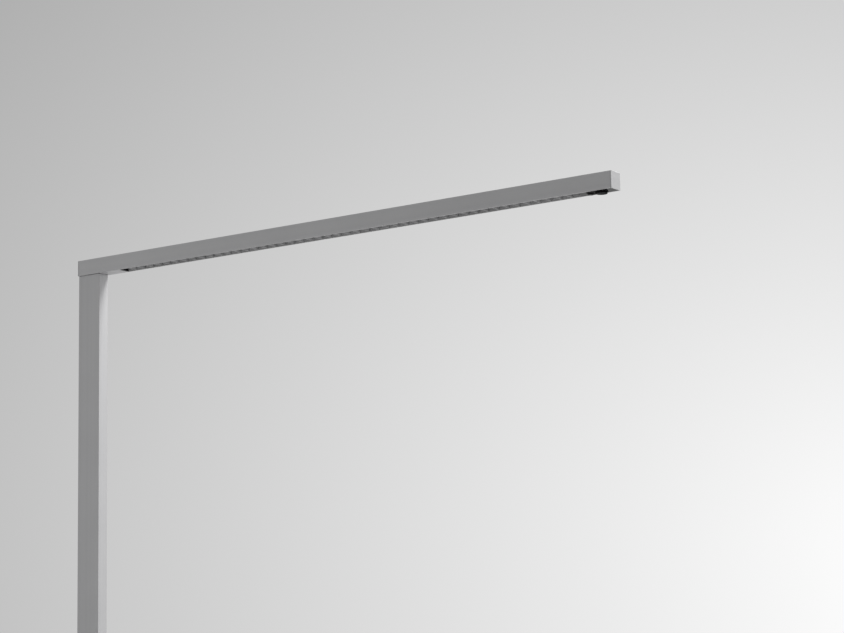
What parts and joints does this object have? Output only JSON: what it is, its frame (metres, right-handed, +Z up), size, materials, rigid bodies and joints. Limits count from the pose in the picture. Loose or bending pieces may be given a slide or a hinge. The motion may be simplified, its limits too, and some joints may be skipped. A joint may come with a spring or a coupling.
{
  "type": "office floor lamp",
  "caption": "Office floor lamp: a slim square LED arm with a louvred underside, cantilevered from a flat rectangular pole on a heavy base plate, with a sensor and push-button near its tip.",
  "frame": {"origin": "on the floor, under the middle of the pole", "axes": "+Z up along the pole, +X along the arm to its free end, +Y to the side away from the picture's viewer"},
  "size_m": [1.243, 0.28, 1.95],
  "materials": {
    "satin_aluminium": "satin anodised silver grey",
    "plain_aluminium": "mill finish",
    "white_board": "white solder mask",
    "zinc_steel": "zinc plated",
    "clear_acrylic": "clear",
    "satin_reflector": "satin metallised",
    "black_plastic": "matte black",
    "black_gloss": "gloss black",
    "dark_lens": "dark lens, gloss",
    "green_board": "green solder mask",
    "dark_button": "satin dark grey",
    "spring_steel": "bright wire",
    "driver_case": "white case",
    "white_cable": "white sheath",
    "painted_steel": "fine-texture silver-grey powder coat",
    "pad_rubber": "soft black",
    "bush_rubber": "black"
  },
  "bodies": {
    "lamp": {"arm_profile": "satin_aluminium", "arm_cap_pole_end": "satin_aluminium", "arm_cap_free_end": "satin_aluminium", "led_rail": "plain_aluminium", "led_board_1": "white_board", "led_board_2": "white_board", "led_board_3": "white_board", "led_board_4": "white_board", "led_board_screws": "zinc_steel", "lens_strip_1": "clear_acrylic", "lens_strip_2": "clear_acrylic", "lens_strip_3": "clear_acrylic", "lens_strip_4": "clear_acrylic", "louvre_1": "satin_reflector", "louvre_2": "satin_reflector", "louvre_3": "satin_reflector", "louvre_4": "satin_reflector", "louvre_end_pole_side": "black_plastic", "louvre_end_free_side": "black_plastic", "tip_panel": "black_gloss", "sensor_panel": "black_plastic", "sensor_lens": "dark_lens", "sensor_board": "green_board", "tact_switch": "black_plastic", "button_spring": "spring_steel", "arm_nut_bar": "zinc_steel", "neck_screws": "zinc_steel", "pole_top_block": "zinc_steel", "top_set_screws": "zinc_steel", "pole_profile": "satin_aluminium", "driver_sled": "zinc_steel", "led_driver": "driver_case", "driver_screws": "zinc_steel", "driver_lead": "white_cable", "foot_block": "zinc_steel", "foot_screws": "zinc_steel", "foot_set_screws": "zinc_steel", "base_plate": "painted_steel", "base_pad": "pad_rubber", "cord_bush": "bush_rubber"},
    "button": {"push_button": "dark_button"}
  },
  "joints": [
    {"name": "button_press", "type": "slide", "parent": "lamp", "child": "button", "axis": [0, 0, 1], "range_m": [0, 0.0008], "stiffness_N_per_m": 1200, "springref_m": -0.0004, "deforming": ["button_spring"]}
  ]
}
